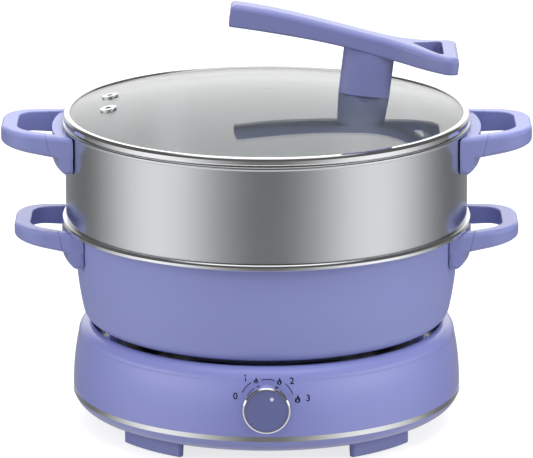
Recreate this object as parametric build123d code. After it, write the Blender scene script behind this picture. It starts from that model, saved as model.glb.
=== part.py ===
from build123d import *
import os
from math import asin, cos, degrees, radians, sin, sqrt

# Electric hot pot: heated base, lift-out pot, lift-off steamer tier and glass lid.
# Millimetres, +Z up, origin on the floor at the centre of the base, the dial faces -Y.

# ---- Clearances ----
seat_gap = 0.2        # pot, steamer and lid above what they rest on
run_gap = 0.05        # radial, shaft or stem in its bore
fit_gap = 0.15        # loose fit between fixed pieces
hang_gap = 0.3        # between curved faces on different bodies
seek = 1.0            # either side, when an outline's corner is picked by its place

# ---- Base housings ----
foot_z = 13.5         # underside of the base above the floor
foot_pad_h = 0.8
foot_in = 9.6         # foot's outer face in from the underside's edge
foot_w = 20.0
foot_outer_deg = 35.4  # outer end of the rear right foot, from +X; the others mirror it
foot_end_x = 61.2     # flat inner end, from the middle plane
foot_inset = 3.0      # rubber pad inside the foot's outline
foot_corner_r = 2.5
foot_edge_r = 1.2     # lower edge
chin_bulge = 1.0      # rounding of the lower housing's edge
base_wide_r = 145.6
chin_in = 6.0         # the underside's radius is this much smaller
trim_z = 22.9
trim_h = 3.7
trim_proud = 0.2
floor_t = 2.5
skin = 2.6
tongue_t = 2.4
tongue_h = 4.0        # tongue above the trim band, up into the upper housing
tongue_gap = 0.6
wall_lean = 4.2       # the wall leans in this much up to the shoulder
shoulder_round = 9.6
shoulder_w = 10.4     # from the shoulder's side in to the lip
wall_h = 49.9         # top of the trim band up to the lip
lip_round = 1.3
wall_bulge = 1.1      # how far the side wall bows out
well_depth = 13.5
well_ledge_w = 27.0
boss_r = 4.5
boss_in = 19.0        # screw bosses in from the lip
boss_angles = (20, 160, 200, 340)
screw_r = 1.6
screw_head_r = 3.4
screw_head_h = 1.6
screw_cross = (4.2, 1.0, 1.4)   # length, width, depth
locator_angles = (28, 152, 208, 332)
locator_size = (5.0, 1.4)   # reach from the lip, width
vent_rows = 5
vent_pitch = 9.0
vent_slot = (36.0, 3.0)
vent_x = 60.0

# ---- Heater ----
plate_gap = 6.0       # heater plate inside the well's ledge
plate_t = 8.0
plate_drop = 1.2      # top of the plate below the lip
plate_bore_r = 17.0
plate_edge = 0.6
element_in = 26.0     # element's ring in from the plate's edge
element_r = 3.6
element_arc_gap = 23.0   # half the open angle between the two terminals
element_bury = 2.0    # how far the tube's centre sits below the plate's underside
terminal_r = 2.5
terminal_drop = 26.0
reflector_t = 0.8
reflector_depth = 20.0
reflector_flange = 6.0
reflector_hole_gap = 1.0
terminal_hole_gap = 1.5
standoff_r = 4.0
standoff_in = 14.0
standoff_angles = (30, 150, 270)
sensor_cap_r = 13.0
sensor_cap_h = 4.0
sensor_edge = 0.8
sensor_stem_r = 5.0
guide_wall = 1.6
guide_flange_r = 11.5
guide_flange_h = 1.4
guide_h = 12.0
spring_wire_r = 0.6
spring_coils = 6
spring_gap = 0.5      # inside of the coil to the guide
thermostat_r = 9.0
thermostat_h = 7.0
thermostat_at = (36.0, 28.0)
fuse_size = (18.0, 7.0, 5.0)
fuse_at = (-38.0, 26.0)
blade_size = (1.0, 5.0, 6.0)
blade_pitch = 9.0

# ---- Dial ----
knob_up = 23.7        # knob's axis above the trim band
knob_r = 17.25
knob_ring_t = 1.6
knob_proud = 13.1     # knob's face beyond the widest radius
knob_ring_len = 9.8
knob_gap = 0.7
knob_skirt_r = 16.4
knob_cap_recess = 0.6
knob_ring_edge = 0.9
pointer_r = 1.4
pointer_depth = 1.0
pointer_ring_r = 9.5
pointer_deg = 65.8    # rest position, anticlockwise from +X seen from the front
shaft_r = 3.0
shaft_grip = 8.0      # shaft inside the knob
collar_r = 9.0
collar_flange_r = 12.0
collar_flange_t = 1.7
switch_size = (28.0, 18.5, 18.0)
switch_in = 8.1       # switch's face behind the collar's

# ---- Power inlet ----
inlet_size = (44.0, 27.0, 24.0)
inlet_up = 17.4       # inlet's middle above the trim band
socket_size = (35.0, 18.0, 15.0)
socket_round = 4.0
pin_r = 2.0
pin_len = 14.0
pin_pitch = 10.5
pin_columns = (-1, 0, 1)   # line, earth, neutral
lead_r = 1.5
lead_bend_r = 10.0
lead_lift = 8.0       # run of the leads above the floor of the lower housing
lead_x = 10.0
lead_run_x = 36.0
lead_exit_run = 26.0    # straight out of the inlet's back
lead_slope_run = 62.0   # from the inlet's back to where it lies on the floor
lead_gather_run = 50.0  # last stretch, in towards the switch

# ---- Pot ----
pot_corner_r = 10.0
pot_lift = 3.0        # underside of the pot's rim of floor above the lip
pot_overhang = 6.6    # lower corner of the pot beyond the lip
pot_low_deg = 12.5    # lean of the wall where it leaves the corner
pot_mid_out = 3.7     # middle of the wall beyond the corner
pot_mid_h = 29.5      # and above the pot's underside
pot_top_out = 5.8
pot_wall_h = 66.5
pot_wall = 2.5
pot_disc_out = 14.0   # base disc beyond the heater plate
flange_w = 7.6
flare_h = 7.1         # height of the flare up to the ring
flange_t = 1.8
band_out = 2.3
band_t = 1.2
band_h = 4.4
band_lip = 3.6
band_lip_gap = 0.4    # band's inner edge short of where the flange turns up
band_edge = 0.6
band_bevel = (0.75, 1.4)   # slope under the band's top edge: in, down

# ---- Steamer ----
steamer_step = 3.3    # steamer's wall inside the pot's ring
steel_t = 1.0
steamer_h = 72.4
bead_r = 1.7
skirt_fit = 0.9       # skirt inside the pot's wall
skirt_drop = 12.0
ledge_w = 7.0
tray_t = 1.0
tray_hole_r = 2.6
tray_ring_step = 17.0
tray_rings = 7

# ---- Lid ----
lid_ring_out = 1.7    # lid ring beyond the steamer's wall
lid_ring_h = 6.0
lid_ring_t = 1.6
lid_ring_w = 5.1
lid_skirt_h = 5.0
lid_skirt_t = 1.0
lid_ring_edge = 0.6    # inner and top edges
lid_ring_bevel = (0.8, 1.5)   # slope under its top edge: in, down
lid_ring_foot = (0.7, 1.3)    # slope at its lower outer edge: in, up
lid_edge_in = 2.1     # glass edge inside the ring's face
glass_t = 4.0
dome_rise = 18.2      # apex above the glass edge
glass_fit = 0.05
vent_r = 6.3
vent_tube_r = 4.2
vent_bore_r = 2.2
vent_flange_t = 1.2
vent_in = 32.6        # vents in from the glass edge, along X
vent_apart = 20.5     # and to either side
stem_in = 77.1        # stem in from the glass edge
stem_w = 38.2
stem_d = 19.0
screw_lid_r = 2.5
screw_lid_head_r = 6.0
screw_lid_head_h = 2.4
screw_lid_cross = (8.0, 1.2)   # length, width
stem_screw_depth = 12.0
washer_r = 12.0
washer_t = 1.6
# side view of the bar, from the stem's axis and the top of the dome
bar_top = ((-98.4, 65.4), (-48.5, 56.0), (12.5, 40.2), (35.5, 34.7), (57.5, 30.4), (69.9, 29.6))
bar_under = ((-100.6, 48.4), (-52.5, 40.8), (-14.1, 32.7), (24.0, 22.3), (49.5, 17.9), (68.5, 16.4))
bar_w = 20.0
bar_edge_r = 4.2
bar_under_r = 1.6     # lower edges of the bar
loop_w = 68.0
loop_start = 23.5     # along the bar from the stem's axis
loop_end = 69.9
loop_corner_r = 8.0
hole_tip = 35.5
hole_end = 58.5
hole_w = 50.0
hole_corner_r = 2.5
loop_throat_r = 40.0  # where the bar widens into the loop

# ---- Side handles, the same on the pot and on the steamer ----
pad_half_w = 49.5
pad_t = 8.8
pad_tab = 10.1        # pad below the underside of the arms
pad_corner_r = 6.0
pad_face_low = 9.0    # straight face of the pad above its lower edge
pad_belly = (2.2, 2.2)   # middle of the pad's lower curve: in from the face, up from the lower edge
pad_foot_in = 7.0     # lower edge of the pad in from its face
bracket_t = 0.9
bracket_fit = 0.1     # between the bracket and the wall
bracket_half_w = 26.0
bracket_margin = 5.0
steamer_grip_reach = 47.3   # from the wall to the grip's outer face
pot_grip_reach = 44.8
grip_root_half = 51.0
grip_end_half = 36.7   # where the sides would meet the outer face, before rounding
grip_corner_r = 31.0
arm_w = (7.4, 14.1)   # at the root and at the outer end
cross_w = 12.2
steamer_grip_h = 17.9   # thickness at the root
pot_grip_h = 16.2
grip_rise = 3.5       # the outer end stands this much higher
grip_taper = 4.8      # and is this much thinner
grip_root_in = 12.0   # the loop starts this far inside the wall, before the wall is cut from it
grip_hole_r = 19.0
grip_edge_r = 3.4
hole_edge_r = 1.0
seam_lean = 13.0      # degrees the seam between mount and grip leans out at the top
seam_edge = 0.35      # bevel on both sides of the seam
grip_len = 34.5       # grip's own length, from its outer face back to the seam
grip_screw_y = 15.0
grip_screw_drop = 11.0
grip_screw_head_r = 3.2
grip_screw_head_h = 1.8
grip_screw_sink = 1.0   # head below the pad's face
grip_screw_cross = (4.0, 0.9, 0.8)   # length, width, depth
pot_handle_drop = 1.4     # top of the handle's root below the ring
steamer_handle_drop = 4.6   # and below the steamer's rim

# ---- Worked-out levels and radii ----
base_bottom_r = base_wide_r - chin_in
shoulder_r = base_wide_r - wall_lean
lip_r = shoulder_r - shoulder_w
foot_r_out = base_bottom_r - foot_in
foot_r_in = foot_r_out - foot_w
well_floor_r = lip_r - well_ledge_w
boss_ring_r = lip_r - boss_in
plate_r = well_floor_r - plate_gap
element_ring_r = plate_r - element_in
standoff_ring_r = plate_r - standoff_in
tongue_r = base_wide_r - skin - tongue_gap

trim_top_z = trim_z + trim_h
floor_top_z = foot_z + floor_t
lip_z = trim_top_z + wall_h
shoulder_z = lip_z - shoulder_round
well_z = lip_z - well_depth
plate_z = lip_z - plate_drop
plate_low_z = plate_z - plate_t
cap_low_z = plate_z - sensor_cap_h
reflector_low_z = well_z - reflector_depth
guide_low_z = reflector_low_z + reflector_t

knob_z = trim_top_z + knob_up
knob_face_y = base_wide_r + knob_proud
knob_ring_back_y = knob_face_y - knob_ring_len
knob_back_y = base_wide_r + knob_gap
collar_face_y = base_wide_r
switch_front_y = base_wide_r - switch_in
inlet_z = trim_top_z + inlet_up
inlet_face_y = base_wide_r

pot_low_r = lip_r + pot_overhang
pot_rim_floor_z = lip_z + pot_lift
pot_mid = (pot_low_r + pot_mid_out, pot_rim_floor_z + pot_mid_h)
pot_top_r = pot_low_r + pot_top_out
pot_top_z = pot_rim_floor_z + pot_wall_h
pot_disc_r = plate_r + pot_disc_out
pot_disc_z = plate_z + seat_gap
pot_floor_z = pot_rim_floor_z + pot_wall
flange_r = pot_top_r + flange_w
flange_z = pot_top_z + flare_h
band_r = flange_r + band_out
band_top_z = flange_z + band_h

steamer_r = band_r - steamer_step
skirt_r = pot_top_r - pot_wall - skirt_fit
steamer_seat_z = band_top_z + seat_gap
steamer_top_z = steamer_seat_z + steamer_h

lid_ring_r = steamer_r + lid_ring_out
lid_ring_in_r = lid_ring_r - lid_ring_w
lid_edge_r = lid_ring_r - lid_edge_in
lid_low_z = steamer_top_z + hang_gap
glass_edge_z = lid_low_z + lid_ring_h - lid_ring_t
dome_r = (lid_edge_r**2 + dome_rise**2) / (2 * dome_rise)
dome_centre_z = glass_edge_z + dome_rise - dome_r
dome_top_z = glass_edge_z + dome_rise
vent_at = ((vent_in - lid_edge_r, -vent_apart), (vent_in - lid_edge_r, vent_apart))
stem_x = lid_edge_r - stem_in

pot_handle_top_z = flange_z - pot_handle_drop
steamer_handle_top_z = steamer_top_z - steamer_handle_drop

nodes = {}


def spin(outline, degrees_round=360.0):
    """Revolve an outline of (r, z) edges about the vertical axis, centred on +X."""
    section = make_face(Plane.XZ * outline)
    turned = revolve(section, Axis.Z, degrees_round)
    return Rot(0, 0, -degrees_round / 2) * turned


def tube(r_out, r_in, z_low, z_high):
    height = z_high - z_low
    outer = Pos(0, 0, z_low) * Cylinder(r_out, height, align=(Align.CENTER, Align.CENTER, Align.MIN))
    inner = Pos(0, 0, z_low) * Cylinder(r_in, height, align=(Align.CENTER, Align.CENTER, Align.MIN))
    return outer - inner


def disc(r, z_low, z_high, x=0.0, y=0.0):
    base = Cylinder(r, z_high - z_low, align=(Align.CENTER, Align.CENTER, Align.MIN))
    return Pos(x, y, z_low) * base


def rod_y(r, y_low, y_high, x=0.0, z=0.0):
    """A cylinder along Y from y_low to y_high."""
    upright = Cylinder(r, y_high - y_low, align=(Align.CENTER, Align.CENTER, Align.MIN))
    return Pos(x, y_low, z) * Rot(-90, 0, 0) * upright


def rod_x(r, x_low, x_high, y=0.0, z=0.0):
    """A cylinder along X from x_low to x_high."""
    upright = Cylinder(r, x_high - x_low, align=(Align.CENTER, Align.CENTER, Align.MIN))
    return Pos(x_low, y, z) * Rot(0, 90, 0) * upright


def around(radius, angle):
    return radius * cos(radians(angle)), radius * sin(radians(angle))


def group(solids):
    return Compound(children=[s.solid() for s in solids])


def sector(r_out, r_in, z_low, z_high, mid_deg, half_deg):
    outline = Polyline((r_in, z_low), (r_out, z_low), (r_out, z_high), (r_in, z_high), close=True)
    return Rot(0, 0, mid_deg) * spin(outline, 2 * half_deg)


# ---- Base: housings, trim, feet ----
def base_wall_r(z):
    """Outer radius of the upper housing's straight-line wall, without its slight bow."""
    share = (z - trim_top_z) / (shoulder_z - trim_top_z)
    return base_wide_r + share * (shoulder_r - base_wide_r)


def make_upper_housing():
    mid_z = (trim_top_z + shoulder_z) / 2
    mid_r = base_wall_r(mid_z) + wall_bulge
    arc_r = shoulder_r - shoulder_round
    arc_45 = shoulder_round * cos(radians(45))
    inner_round = shoulder_round - skin
    inner_45 = inner_round * cos(radians(45))
    lip_back_r = lip_r + skin
    lip_back_z = shoulder_z + sqrt(inner_round**2 - (lip_back_r - arc_r) ** 2)
    outline = Curve() + [
        ThreePointArc((base_wide_r, trim_top_z), (mid_r, mid_z), (shoulder_r, shoulder_z)),
        ThreePointArc((shoulder_r, shoulder_z), (arc_r + arc_45, shoulder_z + arc_45), (arc_r, lip_z)),
        Line((arc_r, lip_z), (lip_r, lip_z - lip_round)),
        Line((lip_r, lip_z - lip_round), (lip_r, well_z)),
        Line((lip_r, well_z), (well_floor_r, well_z)),
        Line((well_floor_r, well_z), (well_floor_r, well_z - skin)),
        Line((well_floor_r, well_z - skin), (lip_back_r, well_z - skin)),
        Line((lip_back_r, well_z - skin), (lip_back_r, lip_back_z)),
        ThreePointArc(
            (lip_back_r, lip_back_z),
            (arc_r + inner_45, shoulder_z + inner_45),
            (shoulder_r - skin, shoulder_z),
        ),
        ThreePointArc(
            (shoulder_r - skin, shoulder_z), (mid_r - skin, mid_z), (base_wide_r - skin, trim_top_z)
        ),
        Line((base_wide_r - skin, trim_top_z), (base_wide_r, trim_top_z)),
    ]
    housing = spin(outline)
    for angle in boss_angles:
        x, y = around(boss_ring_r, angle)
        housing += disc(boss_r, floor_top_z, well_z - skin / 2, x, y)
    for angle in locator_angles:
        reach, width = locator_size
        rib_top_z = pot_rim_floor_z - seat_gap
        rib = Box(reach + skin / 2, width, rib_top_z - well_z, align=(Align.MAX, Align.CENTER, Align.MIN))
        housing += Rot(0, 0, angle) * Pos(lip_r + skin / 2, 0, well_z) * rib
    for angle in boss_angles:
        x, y = around(boss_ring_r, angle)
        housing -= disc(screw_r + run_gap, floor_top_z, well_z - skin - floor_t, x, y)
    housing -= rod_y(collar_r, -base_wide_r - skin, -switch_front_y, z=knob_z)
    width, depth, height = inlet_size
    housing -= Pos(0, inlet_face_y, inlet_z) * Box(
        width, 2 * depth, height, align=(Align.CENTER, Align.CENTER, Align.CENTER)
    )
    return housing


def make_lower_housing():
    chin_r = base_bottom_r - floor_t
    chin_mid = ((chin_r + base_wide_r) / 2 + chin_bulge, (foot_z + trim_z) / 2 - chin_bulge)
    outline = Curve() + [
        Line((0, foot_z), (chin_r, foot_z)),
        ThreePointArc((chin_r, foot_z), chin_mid, (base_wide_r, trim_z)),
        Line((base_wide_r, trim_z), (tongue_r, trim_z)),
        Line((tongue_r, trim_z), (tongue_r, trim_top_z + tongue_h)),
        Line((tongue_r, trim_top_z + tongue_h), (tongue_r - tongue_t, trim_top_z + tongue_h)),
        Line((tongue_r - tongue_t, trim_top_z + tongue_h), (tongue_r - tongue_t, floor_top_z + floor_t)),
        Line((tongue_r - tongue_t, floor_top_z + floor_t), (tongue_r - tongue_t - floor_t, floor_top_z)),
        Line((tongue_r - tongue_t - floor_t, floor_top_z), (0, floor_top_z)),
        Line((0, floor_top_z), (0, foot_z)),
    ]
    housing = spin(outline)
    for angle in boss_angles:
        x, y = around(boss_ring_r, angle)
        housing -= disc(screw_r + fit_gap, foot_z, floor_top_z, x, y)
        housing -= disc(screw_head_r + fit_gap, foot_z, foot_z + screw_head_h, x, y)
    for side in (-1, 1):
        for row in range(vent_rows):
            y = (row - (vent_rows - 1) / 2) * vent_pitch
            housing -= Pos(side * vent_x, y, foot_z) * Box(*vent_slot, 3 * floor_t)
    return housing


def make_screw(x, y, shank_top_z):
    head = disc(screw_head_r, foot_z, foot_z + screw_head_h, x, y)
    length, width, depth = screw_cross
    cross = Box(width, length, 2 * depth) + Box(length, width, 2 * depth)
    return head + disc(screw_r, foot_z, shank_top_z, x, y) - Pos(x, y, foot_z) * cross


nodes["base_upper_housing"] = make_upper_housing()
nodes["base_lower_housing"] = make_lower_housing()
nodes["base_trim_band"] = tube(base_wide_r + trim_proud, tongue_r + fit_gap, trim_z, trim_top_z)
nodes["base_screws"] = group(
    [make_screw(*around(boss_ring_r, a), well_z - skin - 2 * floor_t) for a in boss_angles]
)


def foot_blank(inset, z_low, z_high):
    """Arc under the rear right, from its radial outer end to its flat inner end."""
    start_deg = foot_outer_deg + degrees(inset / foot_r_out)
    half_deg = (90 - start_deg) / 2
    arc = sector(foot_r_out - inset, foot_r_in + inset, z_low, z_high, start_deg + half_deg, half_deg)
    beyond_end = Pos(foot_end_x + inset, 0, z_low) * Box(
        foot_r_out, 2 * foot_r_out, z_high - z_low, align=(Align.MIN, Align.CENTER, Align.MIN)
    )
    return arc & beyond_end


def at_corners(piece):
    """The rear right piece, and its likes at the other three corners."""
    return {
        "rear_right": piece,
        "rear_left": mirror(piece, Plane.YZ),
        "front_left": Rot(0, 0, 180) * piece,
        "front_right": mirror(piece, Plane.XZ),
    }


foot = foot_blank(0, foot_pad_h, foot_z)
foot = fillet(foot.edges().filter_by(Axis.Z), foot_corner_r)
foot = fillet(foot.edges().group_by(Axis.Z)[0], foot_edge_r)
for name, solid in at_corners(foot).items():
    nodes["foot_" + name] = solid
pads = at_corners(foot_blank(foot_inset, 0, foot_pad_h))
nodes["foot_pads"] = group(list(pads.values()))


# ---- Base: heater ----
def make_element():
    centre_z = plate_low_z - element_bury
    arc_deg = 360 - 2 * element_arc_gap
    section = Plane.XZ * Pos(element_ring_r, centre_z) * Circle(element_r)
    ring = Rot(0, 0, 90 + element_arc_gap) * revolve(section, Axis.Z, arc_deg)
    for angle in (90 - element_arc_gap, 90 + element_arc_gap):
        ring += disc(terminal_r, centre_z - terminal_drop, centre_z, *around(element_ring_r, angle))
    return ring


def make_plate():
    plate = tube(plate_r, plate_bore_r, plate_low_z, plate_z)
    rim = plate.edges().group_by(Axis.Z)[-1]
    plate = chamfer(rim, plate_edge)
    groove = Plane.XZ * Pos(element_ring_r, plate_low_z - element_bury) * Circle(element_r + fit_gap)
    return plate - revolve(groove, Axis.Z, 360)


def make_reflector():
    tub_r = well_floor_r - hang_gap
    hole_r = sensor_stem_r + reflector_hole_gap
    flange_out_r = tub_r + reflector_flange
    top_z = well_z + reflector_t
    low_z = reflector_low_z
    outline = Polyline(
        (hole_r, low_z),
        (tub_r, low_z),
        (tub_r, well_z),
        (flange_out_r, well_z),
        (flange_out_r, top_z),
        (tub_r - reflector_t, top_z),
        (tub_r - reflector_t, low_z + reflector_t),
        (hole_r, low_z + reflector_t),
        close=True,
    )
    tub = spin(outline)
    for angle in (90 - element_arc_gap, 90 + element_arc_gap):
        x, y = around(element_ring_r, angle)
        tub -= disc(terminal_r + terminal_hole_gap, low_z, low_z + reflector_t, x, y)
    return tub


def make_spring():
    guide_r = sensor_stem_r + run_gap + guide_wall
    coil_r = guide_r + spring_gap + spring_wire_r
    low_z = guide_low_z + guide_flange_h + run_gap + spring_wire_r
    high_z = cap_low_z - run_gap - spring_wire_r
    pitch = (high_z - low_z) / spring_coils
    path = Pos(0, 0, low_z) * Helix(pitch, high_z - low_z, coil_r)
    wire = Plane(path @ 0, z_dir=path % 0) * Circle(spring_wire_r)
    return sweep(wire, path=path, is_frenet=True)


def blades(x, y, z_top):
    width, depth, height = blade_size
    pair = []
    for side in (-1, 1):
        blade = Box(width, depth, height, align=(Align.CENTER, Align.CENTER, Align.MAX))
        pair.append(Pos(x + side * blade_pitch / 2, y, z_top) * blade)
    return pair


nodes["heater_plate"] = make_plate()
nodes["heating_element"] = make_element()
nodes["heat_reflector"] = make_reflector()
nodes["plate_standoffs"] = group(
    [
        disc(standoff_r, reflector_low_z + reflector_t, plate_low_z, *around(standoff_ring_r, a))
        for a in standoff_angles
    ]
)
sensor = disc(sensor_cap_r, cap_low_z, plate_z)
sensor = chamfer(sensor.edges().group_by(Axis.Z)[-1], sensor_edge)
nodes["thermal_sensor"] = sensor + disc(sensor_stem_r, guide_low_z, cap_low_z)
guide_bore_r = sensor_stem_r + run_gap
guide = tube(guide_bore_r + guide_wall, guide_bore_r, guide_low_z, guide_low_z + guide_h)
nodes["sensor_guide"] = guide + tube(
    guide_flange_r, guide_bore_r, guide_low_z, guide_low_z + guide_flange_h
)
nodes["sensor_spring"] = make_spring()
tx, ty = thermostat_at
thermostat = disc(thermostat_r, plate_low_z - thermostat_h, plate_low_z, tx, ty)
for blade in blades(tx, ty, plate_low_z - thermostat_h):
    thermostat += blade
nodes["thermostat"] = thermostat
fx, fy = fuse_at
fuse = Pos(fx, fy, plate_low_z) * Box(*fuse_size, align=(Align.CENTER, Align.CENTER, Align.MAX))
for blade in blades(fx, fy, plate_low_z - fuse_size[2]):
    fuse += blade
nodes["thermal_fuse"] = fuse


# ---- Base: dial, switch and inlet ----
def make_knob():
    body = rod_y(knob_skirt_r, -knob_ring_back_y, -knob_back_y, z=knob_z)
    core_r = knob_r - knob_ring_t
    body += rod_y(core_r, -knob_face_y + knob_cap_recess, -knob_ring_back_y, z=knob_z)
    body -= rod_y(shaft_r, -knob_back_y - shaft_grip, -knob_back_y, z=knob_z)
    return body - pointer_solid()


def pointer_solid():
    x, z = around(pointer_ring_r, pointer_deg)
    face_y = -knob_face_y + knob_cap_recess
    return rod_y(pointer_r, face_y, face_y + pointer_depth, x=x, z=knob_z + z)


knob_ring = rod_y(knob_r, -knob_face_y, -knob_ring_back_y, z=knob_z)
knob_ring -= rod_y(knob_r - knob_ring_t, -knob_face_y, -knob_ring_back_y, z=knob_z)
front_edges = knob_ring.edges().group_by(Axis.Y)[0]
nodes["knob_ring"] = chamfer(front_edges.sort_by(SortBy.LENGTH)[-1], knob_ring_edge)
nodes["control_knob"] = make_knob()
nodes["knob_pointer"] = pointer_solid()
switch_w, switch_d, switch_h = switch_size
shaft_inner_y = switch_front_y - switch_d / 2
nodes["switch_shaft"] = rod_y(shaft_r, -knob_back_y - shaft_grip, -shaft_inner_y, z=knob_z)
collar = rod_y(collar_r, -collar_face_y, -switch_front_y, z=knob_z)
collar += rod_y(collar_flange_r, -switch_front_y - collar_flange_t, -switch_front_y, z=knob_z)
nodes["dial_collar"] = collar - rod_y(shaft_r + run_gap, -collar_face_y, -switch_front_y, z=knob_z)
switch = Pos(0, -switch_front_y, knob_z) * Box(
    switch_w, switch_d, switch_h, align=(Align.CENTER, Align.MIN, Align.CENTER)
)
switch -= rod_y(shaft_r + run_gap, -switch_front_y, -shaft_inner_y + fit_gap, z=knob_z)
nodes["rotary_switch"] = switch
inlet_w, inlet_d, inlet_h = inlet_size
socket_w, socket_d, socket_h = socket_size
inlet = Pos(0, inlet_face_y, inlet_z) * Box(
    inlet_w - 2 * fit_gap, inlet_d, inlet_h - 2 * fit_gap, align=(Align.CENTER, Align.MAX, Align.CENTER)
)
socket = Pos(0, inlet_face_y, inlet_z) * Box(
    socket_w, socket_d, socket_h, align=(Align.CENTER, Align.MAX, Align.CENTER)
)
inlet -= fillet(socket.edges().filter_by(Axis.Y), socket_round)
nodes["power_inlet"] = inlet
socket_floor_y = inlet_face_y - socket_d
nodes["inlet_pins"] = group(
    [
        rod_y(pin_r, socket_floor_y, socket_floor_y + pin_len, x=column * pin_pitch, z=inlet_z)
        for column in pin_columns
    ]
)
inlet_back_y = inlet_face_y - inlet_d


def make_lead(points, first_bend):
    path = FilletPolyline(*points, radius=[first_bend] + [lead_bend_r] * (len(points) - 3))
    return sweep(Plane(path @ 0, z_dir=path % 0) * Circle(lead_r), path=path)


lead_z = floor_top_z + lead_lift
switch_mid_y = -switch_front_y + switch_d / 2
switch_low_z = knob_z - switch_h / 2
terminal_x, terminal_y = around(element_ring_r, 90 - element_arc_gap)
terminal_low_z = plate_low_z - element_bury - terminal_drop
leads = []
for side in (-1, 1):
    inlet_x = side * lead_x
    run_x = side * lead_run_x
    leads.append(
        make_lead(
            [
                (inlet_x, inlet_back_y, inlet_z - inlet_h / 4),
                (inlet_x, inlet_back_y - lead_exit_run, inlet_z - inlet_h / 4),
                (run_x, inlet_back_y - lead_slope_run, lead_z),
                (run_x, switch_mid_y + lead_gather_run, lead_z),
                (inlet_x, switch_mid_y, lead_z),
                (inlet_x, switch_mid_y, switch_low_z),
            ],
            lead_bend_r,
        )
    )
    leads.append(
        make_lead(
            [
                (side * terminal_x, terminal_y, terminal_low_z),
                (side * terminal_x, terminal_y, lead_z),
                (side * terminal_x, switch_mid_y + lead_gather_run, lead_z),
                (side * lead_x / 3, switch_mid_y, lead_z),
                (side * lead_x / 3, switch_mid_y, switch_low_z),
            ],
            lead_bend_r / 2,
        )
    )
nodes["internal_leads"] = group(leads)


# ---- Pot ----
def pot_corner_centre():
    return pot_low_r - pot_corner_r * cos(radians(pot_low_deg)), pot_rim_floor_z + pot_corner_r


def pot_outline(inset):
    """Points of the pot's outside, moved inwards by inset: corner start, mid, end, wall mid, wall top."""
    lean = radians(pot_low_deg)
    centre_r, centre_z = pot_corner_centre()
    corner = pot_corner_r - inset
    half = (radians(-90) - lean) / 2
    start = (centre_r, centre_z - corner)
    middle = (centre_r + corner * cos(half), centre_z + corner * sin(half))
    end = (centre_r + corner * cos(lean), centre_z - corner * sin(lean))
    return start, middle, end, (pot_mid[0] - inset, pot_mid[1]), (pot_top_r - inset, pot_top_z)


def make_pot():
    start, middle, end, wall_mid, wall_top = pot_outline(0)
    in_start, in_middle, in_end, in_mid, in_top = pot_outline(pot_wall)
    flare_r = flange_r - band_lip
    rim_z = flange_z + band_t + flange_t
    outline = Curve() + [
        Line((0, pot_rim_floor_z), start),
        ThreePointArc(start, middle, end),
        ThreePointArc(end, wall_mid, wall_top),
        Spline(wall_top, (flare_r, flange_z + band_t), tangents=[(0, 1), (1, 0)]),
        Line((flare_r, flange_z + band_t), (flange_r, flange_z + band_t)),
        Line((flange_r, flange_z + band_t), (flange_r, rim_z)),
        Line((flange_r, rim_z), (flare_r, rim_z)),
        Spline((flare_r, rim_z), in_top, tangents=[(-1, 0), (0, -1)]),
        ThreePointArc(in_top, in_mid, in_end),
        ThreePointArc(in_end, in_middle, in_start),
        Line(in_start, (0, pot_floor_z)),
        Line((0, pot_floor_z), (0, pot_rim_floor_z)),
    ]
    return spin(outline)


def make_pot_band():
    """A ring of C section that grips the pot's flange."""
    inner_r = flange_r - band_lip + band_lip_gap
    low_z = flange_z
    bevel_in, bevel_down = band_bevel
    outline = Polyline(
        (inner_r, low_z),
        (band_r - band_edge, low_z),
        (band_r, low_z + band_edge),
        (band_r, band_top_z - band_edge - bevel_down),
        (band_r - bevel_in, band_top_z - band_edge),
        (band_r - bevel_in - band_edge, band_top_z),
        (inner_r, band_top_z),
        (inner_r, low_z + band_t + flange_t),
        (flange_r, low_z + band_t + flange_t),
        (flange_r, low_z + band_t),
        (inner_r, low_z + band_t),
        close=True,
    )
    return spin(outline)


nodes["pot_body"] = make_pot()
nodes["pot_rim_band"] = make_pot_band()
nodes["pot_base_disc"] = disc(pot_disc_r, pot_disc_z, pot_rim_floor_z)


# ---- Steamer ----
skirt_low_z = steamer_seat_z - skirt_drop
tray_z = skirt_low_z + steel_t


def make_steamer():
    wall_in_r = steamer_r - steel_t
    bead_z = steamer_top_z - bead_r
    bead_mid_r = wall_in_r + bead_r
    bead_low_z = bead_z - sqrt(bead_r**2 - (bead_mid_r - steamer_r) ** 2)
    bead_45 = bead_r * cos(radians(45))
    outline = Curve() + [
        Line((skirt_r - ledge_w, skirt_low_z), (skirt_r, skirt_low_z)),
        Line((skirt_r, skirt_low_z), (skirt_r, steamer_seat_z)),
        Line((skirt_r, steamer_seat_z), (steamer_r, steamer_seat_z)),
        Line((steamer_r, steamer_seat_z), (steamer_r, bead_low_z)),
        ThreePointArc(
            (steamer_r, bead_low_z), (bead_mid_r + bead_45, bead_z - bead_45), (bead_mid_r + bead_r, bead_z)
        ),
        ThreePointArc(
            (bead_mid_r + bead_r, bead_z), (bead_mid_r, steamer_top_z), (wall_in_r, bead_z)
        ),
        Line((wall_in_r, bead_z), (wall_in_r, steamer_seat_z + steel_t)),
        Line((wall_in_r, steamer_seat_z + steel_t), (skirt_r - steel_t, steamer_seat_z + steel_t)),
        Line((skirt_r - steel_t, steamer_seat_z + steel_t), (skirt_r - steel_t, skirt_low_z + steel_t)),
        Line((skirt_r - steel_t, skirt_low_z + steel_t), (skirt_r - ledge_w, skirt_low_z + steel_t)),
        Line((skirt_r - ledge_w, skirt_low_z + steel_t), (skirt_r - ledge_w, skirt_low_z)),
    ]
    return spin(outline)


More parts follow.
